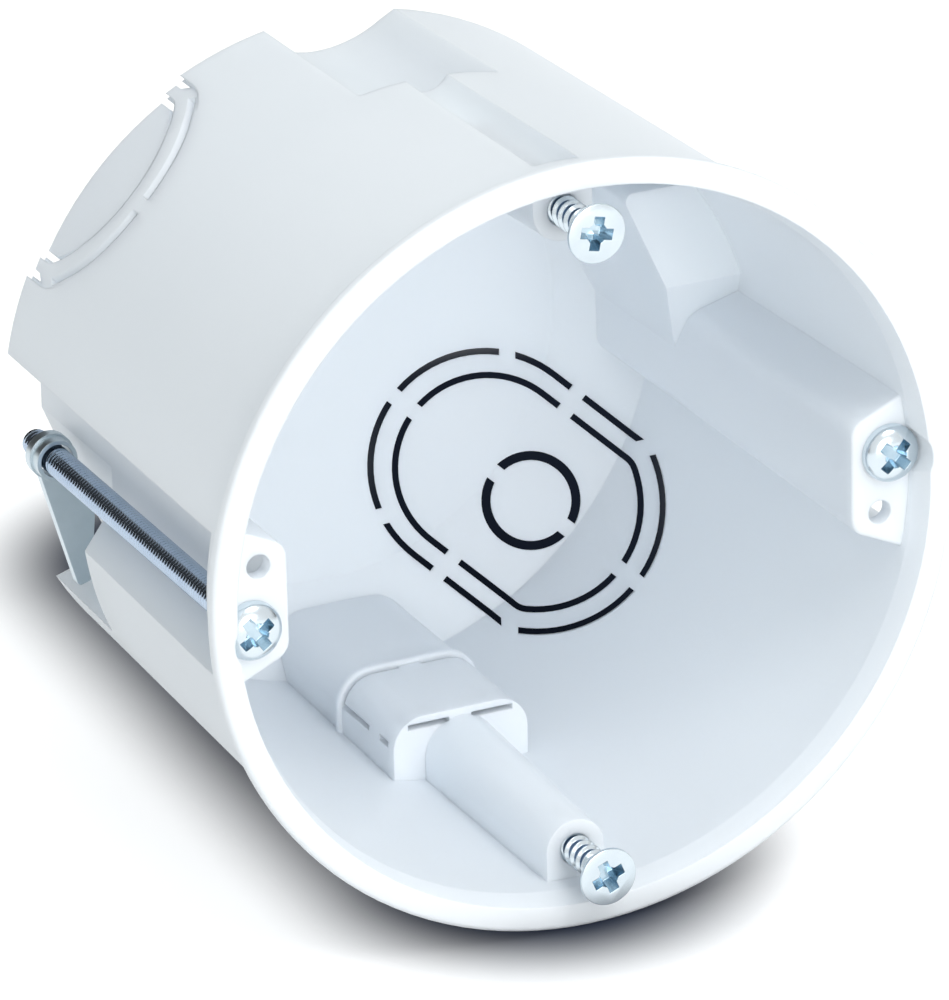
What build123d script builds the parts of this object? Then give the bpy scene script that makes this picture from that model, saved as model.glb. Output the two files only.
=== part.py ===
"""Back box for a plasterboard wall: a round moulded box with a flange, two claw screws that clamp
the board from behind, and two screws that hold the wiring device.

The box lies along Y. Its opening faces -Y and its base +Y, so the origin is on the axis, on the
back face of the flange, where the wall's surface comes. +Z is up and X is across, in millimetres.
The box looks the same after half a turn about its axis, apart from the cable tunnel at the bottom.
"""
from build123d import *
from math import atan, cos, radians, sin, sqrt, tan
import os

# Screws for the wiring device, 60 mm apart
device_pitch = 60.0
post_radius = 2.8
post_back_radius = 3.6        # the posts widen towards the base
post_taper_length = 24.0
post_front = 2.8              # front face of the posts, behind the mounting face
post_groove_radius = 2.2      # hollow outside, behind each post
post_groove_skin = 0.65       # left between the screw's hole and the hollow
device_shank_radius = 1.4
device_hole_radius = 1.45
device_hole_depth = 17.0
device_head_radius = 2.7
device_head_height = 1.9
device_head_edge = 0.35       # the upright rim of the countersunk head
device_length = 15.5
device_standout = 3.8         # head's top in front of the mounting face, screwed in loosely

# Body of the box
side_room = 4.0               # from the device screws' axes out to the body, which makes it 68 mm
body_radius = device_pitch / 2 + side_room
land_length = 6.0             # true cylinder behind the flange, which locates in the hole
side_draft = 1.34             # degrees behind the land, so that the moulding leaves its tool
side_length = 50.9            # back of the flange to the outer edge of the base chamfer
chamfer_height = 5.4          # how much deeper the base is than that edge
chamfer_width = 8.75          # from that edge in to the flat base
wall = 1.3                    # side wall
groove_wall = 1.05            # walls of the grooves that are pressed in from outside
base_wall = 1.7

# Flange
flange_overhang = 1.5         # how far the flange stands out past the body
flange_thickness = 1.4
flange_edge_round = 0.45
mouth_lip = 0.5               # how much wider the mouth is than the side wall behind it would be
mouth_depth = 0.9             # how far behind the mounting face the bore has narrowed

# Claw screws and their ears
claw_screw_inset = 3.3        # from the body's radius in to the screw's axis
claw_screw_z = 2.1
claw_screw_radius = 1.5
claw_screw_end = 49.4         # tip of the screw, behind the mounting face
claw_screw_clearance = 0.08
claw_head_radius = 2.65
claw_head_height = 1.7
claw_head_room = 0.15         # between the head and the recess that it turns in
ear_front = 1.7
ear_thickness = 1.6
ear_edge_round = 0.3
spare_hole_radius = 1.1
spare_hole_inset = 4.2
spare_hole_z = -3.5

# Claw channels, one on each side
channel_depth = 5.85          # from the body's radius in to the channel's floor
channel_floor_half_width = 4.3
channel_mouth_half_width = 7.0
channel_floor_round = 0.7

# Pockets that hold the folded claws
pocket_front = 33.6           # at the body's surface
pocket_lean = 42.0            # degrees that the pocket's front face leans back
pocket_floor_turn = 24.2      # degrees from X to the line square to the pocket's floor
pocket_depth = 8.0            # from the body's radius in to the floor, along that line
pocket_end_z = 16.2
pocket_floor_round = 0.8
bulge_front = 30.0            # the pocket's bulge inside the box
bulge_end_z = 18.9
bulge_shoulder_z = 9.2        # below this its front face leans back
bulge_shoulder_lean = 36.0

# Claws
claw_front = 45.5             # front face of the folded claw's plate, behind the mounting face
claw_thickness = 1.0
claw_ring_radius = 2.15
claw_collar_radius = 1.95
claw_collar_length = 1.3
claw_hole_clearance = 0.06
claw_edge_room = 1.55         # from the body's radius in to the folded claw's outer edge
claw_tip_z = 15.2
claw_tip_width = 1.3
claw_waist_x = 26.8
claw_waist_z = 8.6

# Round channel along the top
top_channel_radius = 7.0
top_channel_depth = 5.5       # from the body's radius in to its floor
top_channel_front = 30.0
top_channel_edge_inset = 2.8  # from the body's radius in to where its right side turns into a slope
top_channel_slope = 1.9

# Cable tunnel along the bottom
tunnel_front = 26.2
tunnel_height = 8.3           # from the body's radius in to the tunnel's top
tunnel_half_width = 6.7
tunnel_round = 3.0
tunnel_wall = 1.2
window_length = 10.6          # break-out window over the tunnel, behind its front edge
window_slit = 0.55
window_side_depth = 5.6       # how far the window reaches down the tunnel's sides
window_bridge = 2.2
bead_width = 0.9              # raised bead over the tunnel behind the window
bead_height = 0.4

# Break-outs for cable and pipe, over the edge of the base on two opposite quarters
breakout_turn = 43.8          # degrees below X
breakout_inset = 5.7          # middle of the break-outs, from the body's edge in along the radius
breakout_length = 25.0        # of the forms that cut them, half of it inside the box
breakout_slot = 0.6
breakout_bridge = 1.5
outer_oval = (10.95, 5.2, 12.65, 12.3, 2.4)    # half width, inner end, reach, end radius, corner
inner_oval = (8.9, 4.9, 10.7, 10.3, 2.2)
centre_hole_shift = 0.32
centre_hole_radius = 4.65
centre_hole_slot = 0.87
outer_recess = 0.45           # the break-outs are thinned from outside, in two steps
outer_recess_fade = 7.5       # in front of the base edge, where that step has run out
inner_recess = 0.85
inner_recess_fade = 20.0
recess_margin = 0.3           # the thinned area reaches past the slot

# Worked out from the sizes above
draft = tan(radians(side_draft))
side_end_radius = body_radius - draft * (side_length - land_length)
base_depth = side_length + chamfer_height
base_flat_radius = side_end_radius - chamfer_width
base_slope = chamfer_height / chamfer_width
chamfer_turn = atan(base_slope)
base_angle_drop = base_wall / cos(chamfer_turn)
flange_radius = body_radius + flange_overhang
mouth_radius = body_radius - wall + mouth_lip
claw_screw_x = body_radius - claw_screw_inset
spare_hole_x = body_radius - spare_hole_inset
channel_floor_x = body_radius - channel_depth
pocket_floor_distance = body_radius - pocket_depth
top_channel_floor = body_radius - top_channel_depth
tunnel_top = body_radius - tunnel_height
window_side_z = body_radius - window_side_depth
window_back = tunnel_front + window_length
top_channel_edge_z = body_radius - top_channel_edge_inset
post_groove_centre = device_pitch / 2 + device_hole_radius + post_groove_skin + post_groove_radius
claw_reach_radius = body_radius - claw_edge_room
ear_back = ear_front + ear_thickness
beyond = body_radius + 6.0    # radius that is surely outside the box
grooves_back = base_depth + 5.0


def outer_radius(y):
    """Radius of the body's outside."""
    return body_radius - draft * max(y - land_length, 0)


def inner_radius(y):
    """Radius of the side wall's inner face."""
    return outer_radius(y) - wall


def across(y, turn=0.0):
    """Plane square to the box's axis at depth y, with its own y up, turned about the axis."""
    a = radians(turn)
    return Plane(origin=(0, y, 0), x_dir=(cos(a), 0, sin(a)), z_dir=(0, -1, 0))


# Inner form: the cavity, before the grooves' walls are taken out of it
inner_edge_radius = side_end_radius - wall
inner_edge_depth = side_length - base_angle_drop + base_slope * wall
inner_flat_depth = base_depth - base_wall
inner_flat_radius = inner_edge_radius - (inner_flat_depth - inner_edge_depth) / base_slope

with BuildPart() as cavity:
    with BuildSketch(Plane.XY) as cavity_half:
        with BuildLine():
            Polyline(
                (0, -flange_thickness - 1),
                (mouth_radius, -flange_thickness - 1),
                (mouth_radius, -flange_thickness + 0.2),
                (inner_radius(mouth_depth), mouth_depth),
                (inner_radius(land_length), land_length),
                (inner_edge_radius, inner_edge_depth),
                (inner_flat_radius, inner_flat_depth),
                (0, inner_flat_depth),
                close=True,
            )
        make_face()
    revolve(axis=Axis.Y)


def claw_channel(grow, turn, front, back):
    """The claw screw's channel, or with grow its wall, from front to back."""
    slope = (channel_mouth_half_width - channel_floor_half_width) / channel_depth
    far_half = channel_floor_half_width + slope * (beyond - channel_floor_x)
    with BuildPart() as channel:
        with BuildSketch(across(front, turn)):
            with BuildLine():
                Polyline(
                    (channel_floor_x, -channel_floor_half_width),
                    (channel_floor_x, channel_floor_half_width),
                    (beyond, far_half),
                    (beyond, -far_half),
                    close=True,
                )
            face = make_face()
            fillet(face.vertices().sort_by(Axis.X)[:2], channel_floor_round)
            if grow:
                offset(amount=grow)
        extrude(amount=-(back - front))
    return channel.part


def pocket_outline(distance, end_z):
    """Section of the pocket down to a floor at the given distance from the axis."""
    a = radians(pocket_floor_turn)
    low_z = (distance - channel_floor_x * cos(a)) / sin(a)
    end_x = (distance - end_z * sin(a)) / cos(a)
    with BuildSketch() as outline:
        with BuildLine():
            Polyline(
                (channel_floor_x, low_z),
                (end_x, end_z),
                (beyond, end_z),
                (beyond, low_z),
                close=True,
            )
        face = make_face()
        fillet(face.vertices().sort_by(Axis.X)[0], pocket_floor_round)
    return outline.sketch


def claw_pocket(turn):
    """The folded claw's pocket, beside the channel, with a front face that leans back."""
    a = radians(turn)
    lean = radians(pocket_lean)
    outwards = Vector(cos(a), 0, sin(a))
    axis = Vector(0, 1, 0)
    corner = outwards * (body_radius - wall) + axis * pocket_front
    front_face = Plane(origin=corner, z_dir=outwards * -sin(lean) + axis * -cos(lean))
    with BuildPart() as pocket:
        with BuildSketch(across(pocket_front - pocket_depth, turn)):
            add(pocket_outline(pocket_floor_distance, pocket_end_z))
        extrude(amount=-(grooves_back - pocket_front + pocket_depth))
        split(bisect_by=front_face, keep=Keep.BOTTOM)
    return pocket.part


def pocket_bulge(turn):
    """What the pocket takes from the inside of the box: its form plus its walls."""
    a = radians(turn)
    low_depth = bulge_front + tan(radians(bulge_shoulder_lean)) * 2 * bulge_shoulder_z
    with BuildPart() as bulge:
        with BuildSketch(across(bulge_front, turn)):
            add(pocket_outline(pocket_floor_distance - groove_wall, bulge_end_z))
        extrude(amount=-(grooves_back - bulge_front))
        with BuildSketch(Plane(origin=(0, 0, 0), x_dir=(0, 1, 0), z_dir=(cos(a), 0, sin(a)))):
            with BuildLine():
                Polyline(
                    (bulge_front - 1, bulge_shoulder_z),
                    (bulge_front, bulge_shoulder_z),
                    (low_depth, -bulge_shoulder_z),
                    (bulge_front - 1, -bulge_shoulder_z),
                    close=True,
                )
            make_face()
        extrude(amount=beyond, mode=Mode.SUBTRACT)
    return bulge.part


def top_channel(grow, front, back):
    """The round channel along the top, or with grow its wall. Its right side ends in a slope."""
    centre = top_channel_floor + top_channel_radius
    half = sqrt(top_channel_radius**2 - (centre - top_channel_edge_z) ** 2)
    with BuildPart() as channel:
        with BuildSketch(across(front)):
            with Locations((0, centre)):
                Circle(top_channel_radius + grow)
            if not grow:
                with BuildLine():
                    Polyline(
                        (0, top_channel_edge_z),
                        (half, top_channel_edge_z),
                        (half + top_channel_slope, top_channel_edge_z + top_channel_slope),
                        (half + top_channel_slope, beyond),
                        (0, beyond),
                        close=True,
                    )
                make_face()
        extrude(amount=-(back - front))
    return channel.part


def tunnel(grow, front, back):
    """The cable tunnel's form along the bottom, with a negative grow its hollow."""
    with BuildPart() as arch:
        with BuildSketch(across(front)):
            with BuildLine():
                Polyline(
                    (-tunnel_half_width, -beyond),
                    (-tunnel_half_width, -tunnel_top),
                    (tunnel_half_width, -tunnel_top),
                    (tunnel_half_width, -beyond),
                    close=True,
                )
            face = make_face()
            fillet(face.vertices().group_by(Axis.Y)[-1], tunnel_round)
            if grow:
                offset(amount=grow)
        extrude(amount=-(back - front))
    return arch.part


def rib_section(radius):
    """Round-topped section of a post, down to and past the side wall."""
    with BuildSketch() as section:
        with Locations((0, device_pitch / 2)):
            Circle(radius)
        with Locations((0, device_pitch / 2 + side_room)):
            Rectangle(2 * radius, 2 * side_room)
    return section.sketch


def post(turn):
    """Post along the side wall, which the device screw goes into. It widens towards the base."""
    with BuildPart() as rib:
        with BuildSketch(across(post_front, turn)):
            add(rib_section(post_radius))
        with BuildSketch(across(post_front + post_taper_length, turn)):
            add(rib_section(post_back_radius))
        loft()
        with BuildSketch(across(post_front + post_taper_length, turn)):
            add(rib_section(post_back_radius))
        extrude(amount=-(grooves_back - post_front - post_taper_length))
    return rib.part


def ear(turn):
    """Plate across the front of a claw channel, which carries the claw screw."""
    with BuildPart() as plate:
        add(claw_channel(groove_wall, turn, ear_front, ear_back))
        front = plate.edges().filter_by_position(Axis.Y, ear_front - 0.01, ear_front + 0.01)
        fillet(front.sort_by(Axis.X, reverse=turn == 180)[:5], ear_edge_round)
    return plate.part


def tunnel_window():
    """Slits round the break-out window over the tunnel, with the bridges that hold it."""
    width = 2 * tunnel_half_width + 1
    height = window_side_z - tunnel_top
    slit_top = tunnel_top + tunnel_wall
    with BuildPart() as slits:
        with BuildSketch(across(window_back)):
            with Locations((0, -tunnel_top - height / 2)):
                Rectangle(width, height + window_slit)
            with Locations((0, -tunnel_top)):
                Rectangle(window_bridge, 2 * tunnel_wall + 1, mode=Mode.SUBTRACT)
        extrude(amount=-window_slit)
        with BuildSketch(across(tunnel_front - 0.1)):
            with Locations((0, -slit_top + window_slit / 2)):
                Rectangle(2 * tunnel_half_width - tunnel_round, window_slit)
                Rectangle(window_bridge, window_slit, mode=Mode.SUBTRACT)
        extrude(amount=-(2 * tunnel_wall))
        for near, far in ((tunnel_front + tunnel_wall, window_back - window_bridge - window_length / 2),
                          (window_back - window_length / 2, window_back + window_slit)):
            with BuildSketch(across(near)):
                with Locations((-tunnel_half_width, -window_side_z), (tunnel_half_width, -window_side_z)):
                    Rectangle(2 * tunnel_wall + 1, window_slit)
            extrude(amount=-(far - near))
    return slits.part


def tunnel_bead():
    """Raised bead over the tunnel, behind the window."""
    with BuildPart() as bead:
        add(tunnel(bead_height, window_back + window_slit, window_back + window_slit + bead_width))
        rims = bead.edges().filter_by(Plane.XZ)
        fillet(rims.filter_by(lambda e: e.center().Z > -window_side_z), bead_height * 0.8)
    return bead.part


with BuildPart() as hollow:
    add(cavity.part)
    for turn in (0, 180):
        add(claw_channel(groove_wall, turn, ear_back - 0.1, grooves_back), mode=Mode.SUBTRACT)
        add(pocket_bulge(turn), mode=Mode.SUBTRACT)
        add(ear(turn), mode=Mode.SUBTRACT)
        add(post(turn), mode=Mode.SUBTRACT)
    add(top_channel(groove_wall, top_channel_front - wall, grooves_back), mode=Mode.SUBTRACT)
    add(tunnel(0, tunnel_front, grooves_back), mode=Mode.SUBTRACT)
    add(tunnel_bead(), mode=Mode.SUBTRACT)


def breakout_plane(turn):
    """Plane along the inside of the base chamfer, with its x away from the axis."""
    a = radians(turn)
    outwards = Vector(cos(a), 0, sin(a))
    axis = Vector(0, 1, 0)
    middle_depth = side_length + base_slope * breakout_inset - base_angle_drop
    return Plane(
        origin=outwards * (side_end_radius - breakout_inset) + axis * middle_depth,
        x_dir=outwards * cos(chamfer_turn) - axis * sin(chamfer_turn),
        z_dir=axis * cos(chamfer_turn) + outwards * sin(chamfer_turn),
    )


def oval(size, grow=0.0):
    """A break-out's outline: round towards the axis, and a flatter arc on the side wall."""
    half_width, inner_end, reach, end_radius, corner = size
    half_width = half_width + grow
    reach = reach + grow
    end_radius = end_radius + grow
    corner_x = reach - end_radius + sqrt(end_radius**2 - half_width**2)
    round_end = (-inner_end - half_width, 0)
    with BuildSketch() as outline:
        with BuildLine():
            Line((-inner_end, half_width), (corner_x, half_width))
            ThreePointArc((corner_x, half_width), (reach, 0), (corner_x, -half_width))
            Line((corner_x, -half_width), (-inner_end, -half_width))
            ThreePointArc((-inner_end, -half_width), round_end, (-inner_end, half_width))
        face = make_face()
        fillet(face.vertices().sort_by(Axis.X)[-2:], corner + grow)
    return outline.sketch


def oval_prism(turn, size, grow):
    """An outline's solid through the edge of the base."""
    with BuildPart() as prism:
        with BuildSketch(breakout_plane(turn)):
            add(oval(size, grow))
        extrude(amount=breakout_length / 2, both=True)
    return prism.part


def oval_slots(turn, size, bridge_turns):
    """The slots round an oval, with the bridges that hold it."""
    half_width, inner_end, reach = size[:3]
    middle = (reach - size[3] - inner_end) / 2
    with BuildPart() as slots:
        with BuildSketch(breakout_plane(turn)):
            add(oval(size))
            add(oval(size, -breakout_slot), mode=Mode.SUBTRACT)
            Rectangle(4 * half_width, breakout_bridge, mode=Mode.SUBTRACT)
            with Locations((middle, 0)):
                for bridge_turn in bridge_turns:
                    Rectangle(4 * half_width, breakout_bridge, rotation=bridge_turn, mode=Mode.SUBTRACT)
        extrude(amount=breakout_length / 2, both=True)
    return slots.part


def centre_slots(turn):
    """The slot round the centre hole, with its two bridges."""
    with BuildPart() as ring:
        with BuildSketch(breakout_plane(turn)):
            with Locations((centre_hole_shift, 0)):
                Circle(centre_hole_radius)
                Circle(centre_hole_radius - centre_hole_slot, mode=Mode.SUBTRACT)
                Rectangle(3 * centre_hole_radius, breakout_bridge, mode=Mode.SUBTRACT)
        extrude(amount=breakout_length / 2, both=True)
    return ring.part


def skin_below(depth, fade):
    """The body's outermost layer at the base, to the given depth, running out along the side."""
    slope_drop = depth / cos(chamfer_turn)
    edge_radius = side_end_radius - depth
    edge_depth = side_length - slope_drop + base_slope * depth
    flat_depth = base_depth - depth
    flat_radius = edge_radius - (flat_depth - edge_depth) / base_slope
    front = side_length - fade
    with BuildPart() as skin:
        with BuildSketch(Plane.XY):
            with BuildLine():
                Polyline(
                    (beyond, front),
                    (beyond, grooves_back),
                    (0, grooves_back),
                    (0, flat_depth),
                    (flat_radius, flat_depth),
                    (edge_radius, edge_depth),
                    (outer_radius(front), front),
                    close=True,
                )
            make_face()
        revolve(axis=Axis.Y)
    return skin.part


with BuildPart() as box_shell:
    with BuildSketch(Plane.XY):
        with BuildLine():
            Polyline(
                (0, -flange_thickness),
                (flange_radius, -flange_thickness),
                (flange_radius, 0),
                (body_radius, 0),
                (body_radius, land_length),
                (side_end_radius, side_length),
                (base_flat_radius, base_depth),
                (0, base_depth),
                close=True,
            )
        make_face()
    revolve(axis=Axis.Y)
    flange_edges = box_shell.edges().filter_by(GeomType.CIRCLE).filter_by(
        lambda e: abs(e.radius - flange_radius) < 0.01
    )
    fillet(flange_edges, flange_edge_round)

    # Pressed in from outside: the claws' channels and pockets, the top channel and the tunnel
    for turn in (0, 180):
        add(claw_channel(0, turn, ear_back, grooves_back), mode=Mode.SUBTRACT)
        add(claw_pocket(turn), mode=Mode.SUBTRACT)
        with BuildSketch(across(post_front + wall, turn)):
            with Locations((0, post_groove_centre)):
                Circle(post_groove_radius)
        extrude(amount=-(top_channel_front - post_front - wall), mode=Mode.SUBTRACT)
    add(top_channel(0, top_channel_front, grooves_back), mode=Mode.SUBTRACT)
    add(tunnel(-tunnel_wall, tunnel_front + tunnel_wall, grooves_back), mode=Mode.SUBTRACT)

    # Thinned break-outs, in two steps
    for turn in (-breakout_turn, 180 - breakout_turn):
        add(skin_below(outer_recess, outer_recess_fade) & oval_prism(turn, outer_oval, recess_margin),
            mode=Mode.SUBTRACT)
        add(skin_below(inner_recess, inner_recess_fade) & oval_prism(turn, inner_oval, recess_margin),
            mode=Mode.SUBTRACT)

    add(hollow.part, mode=Mode.SUBTRACT)

    for turn in (-breakout_turn, 180 - breakout_turn):
        add(oval_slots(turn, outer_oval, (90, 52, -52)), mode=Mode.SUBTRACT)
        add(oval_slots(turn, inner_oval, (90,)), mode=Mode.SUBTRACT)
        add(centre_slots(turn), mode=Mode.SUBTRACT)
    add(tunnel_window(), mode=Mode.SUBTRACT)

    # Holes for the device screws, in the posts
    for turn in (0, 180):
        with BuildSketch(across(post_front, turn)):
            with Locations((0, device_pitch / 2)):
                Circle(device_hole_radius)
        extrude(amount=-device_hole_depth, mode=Mode.SUBTRACT)
        # Holes in the ears, and the recess that the claw screw's head turns in
        with BuildSketch(across(ear_front, turn)):
            with Locations((claw_screw_x, claw_screw_z)):
                Circle(claw_screw_radius + claw_screw_clearance)
            with Locations((spare_hole_x, spare_hole_z)):
                Circle(spare_hole_radius)
        extrude(amount=-ear_thickness, mode=Mode.SUBTRACT)
        with BuildSketch(across(-flange_thickness - 1, turn)):
            with Locations((claw_screw_x, claw_screw_z)):
                Circle(claw_head_radius + claw_head_room)
        extrude(amount=-(flange_thickness + 1 + ear_front), mode=Mode.SUBTRACT)
box_shell.part.label = "box_shell"


def device_screw(turn):
    """Countersunk screw for the wiring device, standing a little out of its post."""
    head_top = -device_standout
    cone_depth = device_head_height - device_head_edge
    with BuildPart() as screw:
        with BuildSketch(across(head_top, turn)):
            with Locations((0, device_pitch / 2)):
                Circle(device_head_radius)
        extrude(amount=-device_head_edge)
        with BuildSketch(across(head_top + device_head_edge, turn)):
            with Locations((0, device_pitch / 2)):
                Circle(device_head_radius)
        with BuildSketch(across(head_top + device_head_edge + cone_depth, turn)):
            with Locations((0, device_pitch / 2)):
                Circle(device_shank_radius)
        loft()
        with BuildSketch(across(head_top + device_head_height, turn)):
            with Locations((0, device_pitch / 2)):
                Circle(device_shank_radius)
        extrude(amount=-(device_length - device_head_height))
    return screw.part


def claw_screw(turn):
    """Round-headed screw through the ear, as long as the box is deep."""
    dome = claw_head_height * 0.55
    with BuildPart() as screw:
        with BuildSketch(across(ear_front, turn)):
            with Locations((claw_screw_x, claw_screw_z)):
                Circle(claw_head_radius)
        extrude(amount=claw_head_height)
        fillet(screw.edges().filter_by(GeomType.CIRCLE).sort_by(Axis.Y)[0], dome)
        with BuildSketch(across(ear_front, turn)):
            with Locations((claw_screw_x, claw_screw_z)):
                Circle(claw_screw_radius)
        extrude(amount=-(claw_screw_end - ear_front))
        chamfer(screw.edges().filter_by(GeomType.CIRCLE).sort_by(Axis.Y)[-1], 0.4)
    return screw.part


def claw(turn):
    """Sheet claw on the screw: a ring with a collar, and an arm that lies along the body."""
    tip_x = sqrt(claw_reach_radius**2 - claw_tip_z**2)
    heel = (claw_screw_x - claw_ring_radius, claw_screw_z)
    outer_heel = (claw_reach_radius - 0.1, claw_screw_z)
    with BuildPart() as plate:
        with BuildSketch(across(claw_front, turn)):
            with BuildLine():
                Polyline(
                    heel,
                    outer_heel,
                    (tip_x, claw_tip_z),
                    (tip_x - claw_tip_width, claw_tip_z - 0.4),
                    (claw_waist_x, claw_waist_z),
                    close=True,
                )
            face = make_face()
            fillet(face.vertices().sort_by(Axis.Y)[-2:], 0.4)
            fillet(face.vertices().sort_by(Axis.Y)[2], 3)
            with Locations((claw_screw_x, claw_screw_z)):
                Circle(claw_ring_radius)
        extrude(amount=-claw_thickness)
        with BuildSketch(across(claw_front, turn)):
            with Locations((claw_screw_x, claw_screw_z)):
                Circle(claw_collar_radius)
        extrude(amount=claw_collar_length)
        with BuildSketch(across(claw_front - claw_collar_length, turn)):
            with Locations((claw_screw_x, claw_screw_z)):
                Circle(claw_screw_radius + claw_hole_clearance)
        extrude(amount=-(claw_thickness + claw_collar_length), mode=Mode.SUBTRACT)
    return plate.part


os.makedirs("parts", exist_ok=True)
export_step(box_shell.part, "parts/box_shell.step")
for make, names in (
    (device_screw, ("device_screw_top", "device_screw_bottom")),
    (claw_screw, ("claw_screw_right", "claw_screw_left")),
    (claw, ("claw_right", "claw_left")),
):
    for name, turn in zip(names, (0, 180)):
        piece = make(turn)
        piece.label = name
        export_step(piece, f"parts/{name}.step")
print("built", sorted(os.listdir("parts")))
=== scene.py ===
# %% [markdown]
# # A drywall back box, lit as a product picture
# The box is a pale moulded shell with bright zinc hardware. Its exact shape comes from the CAD
# frame, and this lesson dresses it: materials for plastic and plated steel, real threads and cross
# recesses on the screws, a white floor, soft lamps and the camera.

# %% Load the frame
import math

import bmesh
import bpy
from mathutils import Matrix, Vector


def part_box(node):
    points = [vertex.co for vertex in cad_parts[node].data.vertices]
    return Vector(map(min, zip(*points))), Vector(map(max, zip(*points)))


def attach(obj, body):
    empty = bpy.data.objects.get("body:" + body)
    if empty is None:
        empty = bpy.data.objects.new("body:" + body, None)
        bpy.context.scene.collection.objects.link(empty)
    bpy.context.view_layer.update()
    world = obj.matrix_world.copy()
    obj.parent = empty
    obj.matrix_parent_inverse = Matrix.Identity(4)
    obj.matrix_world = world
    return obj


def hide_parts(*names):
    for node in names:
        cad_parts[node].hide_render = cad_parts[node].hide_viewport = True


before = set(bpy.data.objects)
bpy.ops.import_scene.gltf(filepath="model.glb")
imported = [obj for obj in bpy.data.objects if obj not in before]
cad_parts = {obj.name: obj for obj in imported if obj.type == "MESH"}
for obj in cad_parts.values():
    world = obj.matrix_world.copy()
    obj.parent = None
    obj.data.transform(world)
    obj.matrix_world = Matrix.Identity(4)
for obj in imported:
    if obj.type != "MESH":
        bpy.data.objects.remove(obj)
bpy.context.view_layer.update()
bpy.ops.object.select_all(action="DESELECT")
MM = 0.001
print("CAD nodes:", sorted(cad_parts))

# %% [markdown]
# ## Sizes shared with the frame
# A screw's place is read from its own CAD box, so that a thread or a recess always lands on its
# screw. The screws have two kinds of thread: a coarse one that cuts into plastic for the device, and
# a fine machine thread for the claws.

# %% Sizes
DEVICE_HEAD_RADIUS = 2.66 * MM   # just clears the mouth's wall when the screw is driven home
DEVICE_HEAD_EDGE = 0.35 * MM
DEVICE_HEAD_HEIGHT = 1.9 * MM
DEVICE_CORE = 1.08 * MM
DEVICE_CREST = 1.42 * MM
DEVICE_PITCH = 1.1 * MM
DEVICE_TOOTH = 0.42 * MM
DEVICE_TOOTH_ROOT = 0.02 * MM    # the tooth starts this deep in the shank
DEVICE_POINT = 1.6 * MM
DEVICE_POINT_RINGS = ((0.7, 0.7), (0.28, 0.4))    # (share of the point's length, share of the radius)
CLAW_HEAD_RADIUS = 2.65 * MM
CLAW_HEAD_HEIGHT = 1.5 * MM
CLAW_HEAD_RIM = 0.45 * MM        # the straight edge below the dome
CLAW_HEAD_TOP_SHARE = 0.28       # the flat on top of the dome, as a share of the head's radius
CLAW_HEAD_RINGS = 7
CLAW_CORE = 1.25 * MM
CLAW_CREST = 1.33 * MM
CLAW_PITCH = 0.5 * MM
CLAW_TIP_GAP = 0.05 * MM         # the thread runs this far past the plain end of its rod
EAR_FRONT = 1.7 * MM
HEAD_EDGE_SOFT = 0.07 * MM
OVERLAP = 0.1 * MM               # a thread starts this far inside its head


def centre_of(node):
    """A screw's axis as (x, z), and where it starts and ends along Y."""
    low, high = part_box(node)
    return (low.x + high.x) / 2, (low.z + high.z) / 2, low.y, high.y


# %% [markdown]
# ## A short way to write shader maths
# Blender's Math nodes are easier to read as sums. `Value` wraps a socket, and adding or multiplying
# two of them adds the node. Every other node comes from `Shader.node`, which takes its settings
# first and then what its sockets get.

# %% Shader helpers
class Value:
    """A socket that can be used in Python sums."""

    def __init__(self, shader, socket):
        self.shader = shader
        self.socket = socket

    def _math(self, operation, left, right):
        made = self.shader.node("ShaderNodeMath", {"operation": operation}, {0: left, 1: right})
        return Value(self.shader, made.outputs[0])

    def __add__(self, other):
        return self._math("ADD", self, other)

    def __radd__(self, other):
        return self._math("ADD", other, self)

    def __sub__(self, other):
        return self._math("SUBTRACT", self, other)

    def __rsub__(self, other):
        return self._math("SUBTRACT", other, self)

    def __mul__(self, other):
        return self._math("MULTIPLY", self, other)

    def __rmul__(self, other):
        return self._math("MULTIPLY", other, self)


class Shader:
    """A material with its output and its Principled shader."""

    def __init__(self, name):
        self.material = bpy.data.materials.new(name)
        self.material.use_nodes = True
        self.tree = self.material.node_tree
        self.surface = self.tree.nodes["Principled BSDF"]
        self.place = self.node("ShaderNodeTexCoord", {}, {}).outputs["Object"]

    def node(self, kind, settings, inputs):
        made = self.tree.nodes.new(kind)
        for key, setting in settings.items():
            setattr(made, key, setting)
        self.feed(made, inputs)
        return made

    def feed(self, node, inputs):
        for key, given in inputs.items():
            socket = node.inputs[key]
            if isinstance(given, Value):
                given = given.socket
            if isinstance(given, bpy.types.NodeSocket):
                self.tree.links.new(given, socket)
            else:
                socket.default_value = given

    def noise(self, scale, detail=2.0, stretch=(1, 1, 1)):
        """Noise on the piece's own coordinates, drawn out along an axis where stretch is small."""
        place = self.node("ShaderNodeMapping", {}, {"Vector": self.place, "Scale": stretch})
        made = self.node("ShaderNodeTexNoise", {}, {
            "Vector": place.outputs[0], "Scale": scale, "Detail": detail})
        return Value(self, made.outputs["Fac"])

    def blend(self, factor, low, high):
        made = self.node("ShaderNodeMix", {"data_type": "RGBA"}, {0: factor, 6: low, 7: high})
        return made.outputs[2]

    def bump(self, height, strength, distance, edge_radius=None):
        inputs = {"Height": height, "Strength": strength, "Distance": distance}
        if edge_radius:
            soft = self.node("ShaderNodeBevel", {"samples": 6}, {"Radius": edge_radius})
            inputs["Normal"] = soft.outputs[0]
        return self.node("ShaderNodeBump", {}, inputs).outputs[0]


def dress(piece, material):
    """Give a piece one material all over."""
    piece.data.materials.clear()
    piece.data.materials.append(material)


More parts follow.
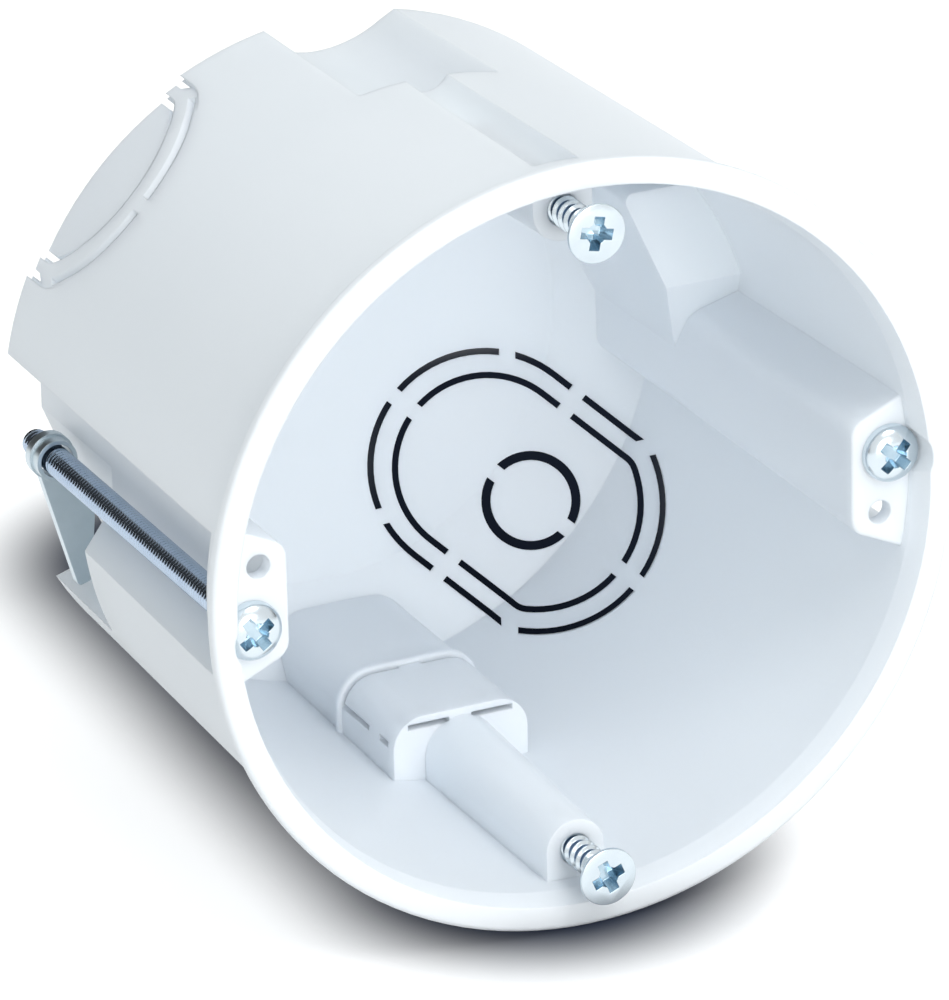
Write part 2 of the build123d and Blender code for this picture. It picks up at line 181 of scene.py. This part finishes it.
# %% [markdown]
# ## Moulded plastic
# The shell is a pale, slightly blue plastic. Light goes a little way into its thin walls, so corners
# look soft and the inside stays bright, and its gloss is broken by the fine grain of the mould. A
# Bevel node rounds every edge in the shading, as the mould's own corners are rounded, without adding
# a face.

# %% Plastic
def make_plastic():
    shader = Shader("moulded_plastic")
    cloud = shader.noise(60.0, 3.0)
    grain = shader.noise(2600.0, 2.0)
    colour = shader.blend(cloud, (0.877, 0.926, 0.985, 1), (0.892, 0.939, 0.99, 1))
    shader.feed(shader.surface, {
        "Base Color": colour,
        "Roughness": 0.36 + cloud * 0.12,
        "Normal": shader.bump(grain * 0.6 + cloud * 0.4, 0.06, 0.0002, 0.00022),
        "Subsurface Weight": 0.55,
        "Subsurface Radius": (1.0, 1.0, 1.0),
        "Subsurface Scale": 0.003,
        "IOR": 1.49,
    })
    return shader.material


plastic = make_plastic()
dress(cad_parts["box_shell"], plastic)


# %% [markdown]
# ## Zinc plate
# The screws are bright zinc, almost a mirror where the thread was rolled. Their long rods get a darker,
# bluer copy of it, which is a painted dark reflection. The ground between the coarse teeth gets a
# near-black copy, which is painted shade, and the recesses get patches of dark and bright, which are
# painted shade and painted highlights.
# The claws are stamped from plated sheet, which is duller, with faint streaks along the strip that it was
# cut from.
# One function makes all five zinc materials, because they differ only in colour, roughness and streaks.

# %% Zinc
def make_zinc(name, dark, light, roughness, streak):
    shader = Shader(name)
    patches = shader.noise(420.0, 3.0)
    lines = shader.noise(900.0, 2.0, streak)
    shader.feed(shader.surface, {
        "Base Color": shader.blend(patches, dark, light),
        "Metallic": 1.0,
        "Roughness": roughness + lines * 0.16,
        "Normal": shader.bump(lines * 0.5 + patches * 0.5, 0.08, 0.0001, 0.00008),
    })
    return shader.material


bright_zinc = make_zinc("bright_zinc", (0.58, 0.65, 0.70, 1), (0.72, 0.79, 0.83, 1), 0.12, (1, 1, 1))
# Darker, bluer copy of the zinc: a painted dark reflection on the long rods.
rod_reflection_zinc = make_zinc("rod_reflection_zinc", (0.36, 0.45, 0.58, 1), (0.50, 0.59, 0.70, 1), 0.08, (1, 0.1, 1))
# Near-black copy of the zinc: painted shade for the ground between thread teeth.
root_shade_zinc = make_zinc("root_shade_zinc", (0.08, 0.13, 0.22, 1), (0.16, 0.24, 0.36, 1), 0.12, (1, 1, 1))
# Dark and bright patches: painted shade and painted highlights in the cross recesses.
recess_shade_highlight_zinc = make_zinc("recess_shade_highlight_zinc", (0.20, 0.34, 0.46, 1), (0.80, 0.90, 0.94, 1), 0.10, (1, 1, 1))
sheet_zinc = make_zinc("sheet_zinc", (0.52, 0.60, 0.64, 1), (0.66, 0.73, 0.77, 1), 0.26, (1, 1, 0.12))
for side in ("right", "left"):
    dress(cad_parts[f"claw_{side}"], sheet_zinc)
print("zinc finishes:", [m.name for m in bpy.data.materials if m.name.endswith("_zinc")])


# %% [markdown]
# ## Working on one piece
# An operator acts on all that is selected, so each helper first selects its own piece, or picks its
# faces by where they look. A finished piece has its place in its mesh.

# %% Helpers for one piece
def active():
    return bpy.context.view_layer.objects.active


def use_only(piece):
    bpy.ops.object.select_all(action="DESELECT")
    piece.select_set(True)
    bpy.context.view_layer.objects.active = piece


def finish_place(piece):
    """Put a piece's place into its mesh."""
    use_only(piece)
    bpy.ops.object.transform_apply(location=True, rotation=True, scale=True)


def apply_all(piece):
    use_only(piece)
    for modifier in list(piece.modifiers):
        bpy.ops.object.modifier_apply(modifier=modifier.name)


def pick_faces(piece, wanted):
    """In edit mode, select only the faces that wanted(centre, normal) accepts."""
    bpy.ops.mesh.select_mode(type="FACE")
    bpy.ops.mesh.select_all(action="DESELECT")
    mesh = bmesh.from_edit_mesh(piece.data)
    for face in mesh.faces:
        face.select_set(bool(wanted(face.calc_center_median(), face.normal)))
    bmesh.update_edit_mesh(piece.data)


# %% [markdown]
# ## Turned shapes
# A head or a pointed shank is turned on a lathe. Here it is a cylinder whose end cap is extruded in
# rings and scaled about the axis. Extruding can number the vertices in another order on each run, and
# a Boolean cut then comes out slightly different, so the mesh is numbered again in a fixed order.

# %% Turned shapes
def settle(piece):
    """Number vertices and faces again, sorted by place."""
    mesh = piece.data
    places = [tuple(vertex.co) for vertex in mesh.vertices]
    order = sorted(range(len(places)), key=places.__getitem__)
    rank = {old: new for new, old in enumerate(order)}
    faces = []
    for face in mesh.polygons:
        loop = [rank[index] for index in face.vertices]
        first = loop.index(min(loop))
        faces.append(loop[first:] + loop[:first])
    mesh.clear_geometry()
    mesh.from_pydata([places[index] for index in order], [], sorted(faces))
    mesh.update()


def push_end(piece, end, rings):
    """Extrude the cap that looks along end through rings of (distance, share of the radius)."""
    use_only(piece)
    bpy.ops.object.mode_set(mode="EDIT")
    for distance, share in rings:
        pick_faces(piece, lambda centre, normal: normal.y * end > 0.99)
        bpy.ops.mesh.extrude_region_move(TRANSFORM_OT_translate={"value": (0, distance * end, 0)})
        bpy.ops.transform.resize(value=(share, 1, share), center_override=(0, 0, 0))
    bpy.ops.object.mode_set(mode="OBJECT")
    settle(piece)


def turned(name, radius, start, end, vertices=64):
    """A cylinder along Y on the origin's axis."""
    bpy.ops.mesh.primitive_cylinder_add(
        vertices=vertices, radius=radius, depth=end - start,
        location=(0, (start + end) / 2, 0), rotation=(math.pi / 2, 0, 0))
    piece = active()
    piece.name = name
    finish_place(piece)
    return piece


# %% [markdown]
# ## Threads
# A thread is rolled into the shank. One tooth's outline is drawn as two edges, and the Screw modifier
# winds it along the axis, which is quicker and more even than placing each turn.

# %% Threads
def thread(name, core, crest, pitch, tooth, start, length, steps):
    """A rolled thread along Y, whose tooth is an open outline that stands on the core."""
    bpy.ops.mesh.primitive_circle_add(vertices=3, radius=core)
    piece = active()
    piece.name = name
    mesh = piece.data
    low, top, high = mesh.vertices
    low.co = (core, start, 0)
    top.co = (crest, start + tooth / 2, 0)
    high.co = (core, start + tooth, 0)
    bpy.ops.object.mode_set(mode="EDIT")
    bpy.ops.mesh.select_mode(type="EDGE")
    edit = bmesh.from_edit_mesh(mesh)
    for edge in edit.edges:
        foot = abs(edge.verts[0].co.x - edge.verts[1].co.x) < 1e-7
        edge.select_set(foot)
    bmesh.update_edit_mesh(mesh)
    bpy.ops.mesh.delete(type="EDGE")
    bpy.ops.object.mode_set(mode="OBJECT")
    winding = piece.modifiers.new("winding", "SCREW")
    winding.axis = "Y"
    winding.screw_offset = pitch
    winding.iterations = round(length / pitch) - 1
    winding.steps = steps
    winding.render_steps = steps
    winding.use_merge_vertices = True
    winding.merge_threshold = 1e-6
    apply_all(piece)
    return piece


# %% [markdown]
# ## Cross recess
# The recess is pressed by a punch with four tapered wings and four slimmer ribs between them. Two
# crossed bars make the wings and two slimmer ones the ribs, each an eighth of a turn on from the
# last. A Boolean takes each bar out of the head, and the bars' material stays on the faces they cut:
# patches of painted shade and painted highlights.

# %% Cross recess
RIB_WIDTH_SHARE = 0.45
RIB_REACH_SHARE = 0.62
WING_FOOT = (0.42, 1, 0.6)       # how a wing narrows towards the bottom of the recess
DEVICE_RECESS = (2.15 * MM, 1.3 * MM, 1.25 * MM)
CLAW_RECESS = (2.6 * MM, 1.5 * MM, 1.3 * MM)


def cross_punch(reach, depth, width, face_y):
    """Four tapered bars, wide and slim in turn, whose middle lies in the head's face."""
    bars = []
    for turn in range(4):
        slim = turn % 2 == 1
        wide = width * (RIB_WIDTH_SHARE if slim else 1.0)
        long = reach * (RIB_REACH_SHARE if slim else 1.0)
        bpy.ops.mesh.primitive_cube_add(size=1, location=(0, face_y, 0))
        bar = active()
        bar.scale = (2 * long, 2 * depth, wide)
        finish_place(bar)
        bpy.ops.object.mode_set(mode="EDIT")
        pick_faces(bar, lambda centre, normal: normal.y > 0.9)
        bpy.ops.transform.resize(value=WING_FOOT, center_override=(0, 0, 0))
        bpy.ops.object.mode_set(mode="OBJECT")
        bar.rotation_euler = (0, turn * math.pi / 4, 0)
        finish_place(bar)
        # The bars carry the painted shade and highlights that the recess faces get.
        dress(bar, recess_shade_highlight_zinc)
        bars.append(bar)
    return bars


def cut(piece, cutters):
    for cutter in cutters:
        use_only(piece)
        knife = piece.modifiers.new("recess", "BOOLEAN")
        knife.operation = "DIFFERENCE"
        knife.solver = "EXACT"
        knife.material_mode = "TRANSFER"
        knife.object = cutter
        bpy.ops.object.modifier_apply(modifier=knife.name)
        bpy.data.objects.remove(cutter)


# %% [markdown]
# ## Putting a screw together
# Both kinds of screw end the same way: head, thread and core become one piece, which is turned, set
# on its axis, and given to the CAD screw that it replaces, so that it moves with it.

# %% Put a screw together
def join(pieces, name):
    bpy.ops.object.select_all(action="DESELECT")
    for piece in pieces:
        piece.select_set(True)
    bpy.context.view_layer.objects.active = pieces[0]
    bpy.ops.object.join()
    joined = active()
    joined.name = name
    return joined


def seat_screw(parts, name, node, turn):
    """Join a screw's parts, turn it, set it on its axis and let it stand for its CAD node."""
    x, z, _, _ = centre_of(node)
    screw = join(parts, name)
    screw.rotation_euler = (0, turn, 0)
    screw.location = (x, 0, z)
    finish_place(screw)
    bpy.ops.object.shade_smooth_by_angle(angle=math.radians(35))
    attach(screw, node)
    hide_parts(node)
    print(name, "faces:", len(screw.data.polygons))


# %% [markdown]
# ## Device screws
# The two short screws hold the socket or switch. They are countersunk, with a thin straight edge
# round a flat face, and have a coarse thread of narrow bright teeth. The core between the teeth is
# painted near-black, for the shade that falls there.

# %% Device screws
def make_device_screw(name, node, turn):
    _, _, head_top, tip = centre_of(node)
    head = turned(name + "_head", DEVICE_HEAD_RADIUS, head_top, head_top + DEVICE_HEAD_EDGE)
    drop = DEVICE_HEAD_HEIGHT - DEVICE_HEAD_EDGE
    push_end(head, 1, [(drop, DEVICE_CORE / DEVICE_HEAD_RADIUS)])
    soft = head.modifiers.new("edge", "BEVEL")
    soft.width = HEAD_EDGE_SOFT
    soft.segments = 2
    soft.limit_method = "ANGLE"
    apply_all(head)
    dress(head, bright_zinc)
    cut(head, cross_punch(*DEVICE_RECESS, head_top))
    start = head_top + DEVICE_HEAD_HEIGHT - OVERLAP
    end = tip - DEVICE_POINT
    worm = thread(name + "_thread", DEVICE_CORE - DEVICE_TOOTH_ROOT, DEVICE_CREST, DEVICE_PITCH,
                  DEVICE_TOOTH, start, end - start, 28)
    core = turned(name + "_core", DEVICE_CORE, start, end, 48)
    push_end(core, 1, [(DEVICE_POINT * length, share) for length, share in DEVICE_POINT_RINGS])
    dress(worm, bright_zinc)
    # The core shows between the teeth, so it gets the painted shade.
    dress(core, root_shade_zinc)
    seat_screw([head, worm, core], name, node, turn)


make_device_screw("device_screw_upper", "device_screw_top", math.radians(12))
make_device_screw("device_screw_lower", "device_screw_bottom", math.radians(-22))


# %% [markdown]
# ## Claw screws
# The two long screws run from the ears to the claws. Their heads are domed, so the rings follow a
# quarter of a circle, and their rods carry a fine, shallow thread over their whole length.

# %% Claw screws
def dome_steps(rise, top_share, rings):
    """Rings for push_end that follow a quarter circle down to a flat top."""
    angles = [math.pi / 2 * k / rings for k in range(rings + 1)]
    heights = [math.sin(angle) for angle in angles]
    radii = [math.cos(angle) * (1 - top_share) + top_share for angle in angles]
    return [(rise * (heights[k + 1] - heights[k]), radii[k + 1] / radii[k]) for k in range(rings)]


def make_claw_screw(name, node, turn):
    _, _, front, tip = centre_of(node)
    head = turned(name + "_head", CLAW_HEAD_RADIUS, EAR_FRONT - CLAW_HEAD_RIM, EAR_FRONT)
    push_end(head, -1, dome_steps(CLAW_HEAD_HEIGHT - CLAW_HEAD_RIM, CLAW_HEAD_TOP_SHARE, CLAW_HEAD_RINGS))
    dress(head, bright_zinc)
    cut(head, cross_punch(*CLAW_RECESS, front))
    worm = thread(name + "_thread", CLAW_CORE, CLAW_CREST, CLAW_PITCH, CLAW_PITCH,
                  EAR_FRONT, tip - EAR_FRONT, 20)
    core = turned(name + "_core", CLAW_CORE, EAR_FRONT, tip - CLAW_TIP_GAP, 32)
    # The thread and the rod both get the painted dark reflection.
    dress(worm, rod_reflection_zinc)
    dress(core, rod_reflection_zinc)
    seat_screw([head, worm, core], name, node, turn)


make_claw_screw("long_screw_right", "claw_screw_right", math.radians(43))
make_claw_screw("long_screw_left", "claw_screw_left", math.radians(-35))

# %% [markdown]
# ## Floor
# The box lies on its side: it touches the floor with the flange and with the edge of its base, so
# the floor runs through both. The floor is white, and its own light brings it up to the white of the
# background without more light on the box. Under the box and behind its base it is painted dark,
# because the white studio alone would leave no deep shadow there, and the slots look on to it.

# %% Floor
FLANGE_LOW = (0.0, -35.5 * MM)           # where the flange touches the floor, as (y, z)
BASE_LOW = (50.9 * MM, -32.95 * MM)
CONTACT_NEAR = (0.0, 12.0 * MM)          # the dark under the box lies along Y, as (x, y)
CONTACT_FAR = (0.0, 80.0 * MM)
CONTACT_DARK = 12.5 * MM                 # full dark this far to each side
CONTACT_CLEAR = 27.0 * MM
BEHIND_NEAR = (24.0 * MM, 64.0 * MM)
BEHIND_FAR = (40.0 * MM, 98.0 * MM)
BEHIND_DARK = 12.0 * MM
BEHIND_CLEAR = 34.0 * MM
FLOOR_GLOW = 0.66
floor_tilt = math.atan2(BASE_LOW[1] - FLANGE_LOW[1], BASE_LOW[0] - FLANGE_LOW[0])
bpy.ops.mesh.primitive_grid_add(x_subdivisions=4, y_subdivisions=4, size=6)
floor = active()
floor.name = "floor"
floor.rotation_euler = (floor_tilt, 0, 0)
floor.location = (0, 0, FLANGE_LOW[1])
finish_place(floor)


def make_floor_paint():
    """White, with a painted shadow under the box and behind its base, which its slots look on to."""
    shader = Shader("floor_paint")

    def clear_of(start, end, dark, clear):
        """0 near the line from start to end, and 1 beyond clear."""
        across = Vector((end[0] - start[0], end[1] - start[1]))
        along = shader.node("ShaderNodeMapping", {"vector_type": "TEXTURE"}, {
            "Vector": shader.place, "Location": (start[0], start[1], 0),
            "Rotation": (0, 0, math.atan2(across.y, across.x))})
        parts = shader.node("ShaderNodeSeparateXYZ", {}, {0: along.outputs[0]})
        run = Value(shader, parts.outputs[0])
        beyond = shader.node("ShaderNodeClamp", {}, {"Value": run, "Min": 0.0, "Max": across.length})
        gap = shader.node("ShaderNodeCombineXYZ", {}, {
            0: run - Value(shader, beyond.outputs[0]), 1: parts.outputs[1]})
        reach = shader.node("ShaderNodeVectorMath", {"operation": "LENGTH"}, {0: gap.outputs[0]})
        step = shader.node("ShaderNodeMapRange", {"interpolation_type": "SMOOTHSTEP"}, {
            "Value": reach.outputs["Value"], "From Min": dark, "From Max": clear})
        return Value(shader, step.outputs[0])

    contact = clear_of(CONTACT_NEAR, CONTACT_FAR, CONTACT_DARK, CONTACT_CLEAR)
    behind = clear_of(BEHIND_NEAR, BEHIND_FAR, BEHIND_DARK, BEHIND_CLEAR)
    paths = shader.node("ShaderNodeLightPath", {}, {})
    plain = Value(shader, paths.outputs["Is Diffuse Ray"])
    # Painted shadow: the colour and the floor's own light go dark along both lines.
    glow = shader.blend(contact * behind, (0.02, 0.027, 0.045, 1), (1, 1, 1, 1))
    shader.feed(shader.surface, {
        "Base Color": shader.blend(contact * behind, (0.010, 0.013, 0.022, 1), (0.6, 0.6, 0.6, 1)),
        "Emission Color": shader.blend((1 - plain) * behind, (0, 0, 0, 1), glow),
        "Emission Strength": FLOOR_GLOW,
        "Roughness": 0.9,
        "Specular IOR Level": 0.0,
    })
    return shader.material


dress(floor, make_floor_paint())


# %% [markdown]
# ## Light
# A product picture has broad, soft light. One large lamp stands high and a little to the right, a
# second one stands in front and shines into the opening, and the world fills the rest.

# %% Lamps
def soft_lamp(name, place, aim, size, power):
    bpy.ops.object.light_add(type="AREA", location=place)
    lamp = active()
    lamp.name = name
    lamp.data.shape = "DISK"
    lamp.data.size = size
    lamp.data.energy = power
    lamp.rotation_euler = (Vector(aim) - Vector(place)).to_track_quat("-Z", "Y").to_euler()
    print(name, "watts:", power)


soft_lamp("lamp_high", (0.15, -0.45, 0.72), (0, 0.02, 0), 0.5, 2.4)
soft_lamp("lamp_front", (-0.02, -0.95, 0.14), (0, 0, 0), 0.6, 3.4)

# %% [markdown]
# ## World
# The background is plain white where the camera sees it. For the light that falls on dull surfaces
# it is weaker and slightly cool, and brighter from the front right than from the back left, so that
# the outer left side is a tone darker than the inside. Metal needs something dark to reflect, or it
# looks like white paint, so what it mirrors at the back is nearly black.

# %% World
AMBIENT_FRONT = 0.77
AMBIENT_BACK = 0.54
AMBIENT_AIM = (0.6, -0.75, 0.3)
SKY_TINT = (0.915, 0.975, 1.0, 1)
MIRROR_AIM = (0, -0.75, 0.66)
MIRROR_BACK = 0.04


def make_world():
    """A white studio with its own levels for dull surfaces and for what metal mirrors."""
    world = bpy.data.worlds.new("studio")
    bpy.context.scene.world = world
    world.use_nodes = True
    tree = world.node_tree
    sky = tree.nodes["Background"]
    paths = tree.nodes.new("ShaderNodeLightPath")
    cool = tree.nodes.new("ShaderNodeMix")
    cool.data_type = "RGBA"
    cool.inputs[6].default_value = (1, 1, 1, 1)
    cool.inputs[7].default_value = SKY_TINT
    tree.links.new(paths.outputs["Is Diffuse Ray"], cool.inputs[0])
    tree.links.new(cool.outputs[2], sky.inputs["Color"])
    direction = tree.nodes.new("ShaderNodeTexCoord")

    def card(aim, start, end, dim, bright):
        """A broad card towards aim: bright where the cosine to it is above end, dim below start."""
        towards = tree.nodes.new("ShaderNodeVectorMath")
        towards.operation = "DOT_PRODUCT"
        towards.inputs[1].default_value = aim
        tree.links.new(direction.outputs["Generated"], towards.inputs[0])
        level = tree.nodes.new("ShaderNodeMapRange")
        level.interpolation_type = "SMOOTHSTEP"
        level.inputs["From Min"].default_value = start
        level.inputs["From Max"].default_value = end
        level.inputs["To Min"].default_value = dim
        level.inputs["To Max"].default_value = bright
        tree.links.new(towards.outputs["Value"], level.inputs["Value"])
        return level.outputs[0]

    strength = tree.nodes.new("ShaderNodeMix")
    strength.inputs["A"].default_value = 1.0
    tree.links.new(paths.outputs["Is Glossy Ray"], strength.inputs["Factor"])
    tree.links.new(card(MIRROR_AIM, 0.05, 0.5, MIRROR_BACK, 1.0), strength.inputs["B"])
    dimmed = tree.nodes.new("ShaderNodeMix")
    tree.links.new(card(AMBIENT_AIM, -0.6, 0.6, AMBIENT_BACK, AMBIENT_FRONT), dimmed.inputs["B"])
    tree.links.new(paths.outputs["Is Diffuse Ray"], dimmed.inputs["Factor"])
    tree.links.new(strength.outputs["Result"], dimmed.inputs["A"])
    tree.links.new(dimmed.outputs["Result"], sky.inputs["Strength"])


make_world()

# %% [markdown]
# ## Camera
# The camera looks down at the opening from the left. Its place and lens come from matching the rim,
# the base and the break-outs of the picture, whose frame is 949 by 1000.

# %% Camera
AZIMUTH = math.radians(-24.93)
ELEVATION = math.radians(22.74)
ROLL = math.radians(-1.41)
DISTANCE = 689.7 * MM
RIGHT_SHIFT = -9.39 * MM
UP_SHIFT = 3.94 * MM
LENS = 288.2                     # millimetres, on a sensor 36 mm wide

back = Vector((math.sin(AZIMUTH) * math.cos(ELEVATION),
               -math.cos(AZIMUTH) * math.cos(ELEVATION), math.sin(ELEVATION)))
level = Vector((math.cos(AZIMUTH), math.sin(AZIMUTH), 0))
upright = back.cross(level)
right = math.cos(ROLL) * level + math.sin(ROLL) * upright
up = math.cos(ROLL) * upright - math.sin(ROLL) * level
bpy.ops.object.camera_add()
camera = active()
camera.data.sensor_width = 36.0
camera.data.lens = LENS
camera.data.clip_start = 0.05
turn = Matrix((right, up, back)).transposed().to_4x4()
camera.matrix_world = Matrix.Translation(back * DISTANCE + right * RIGHT_SHIFT + up * UP_SHIFT) @ turn
bpy.context.scene.camera = camera
bpy.context.scene.view_settings.view_transform = "Standard"
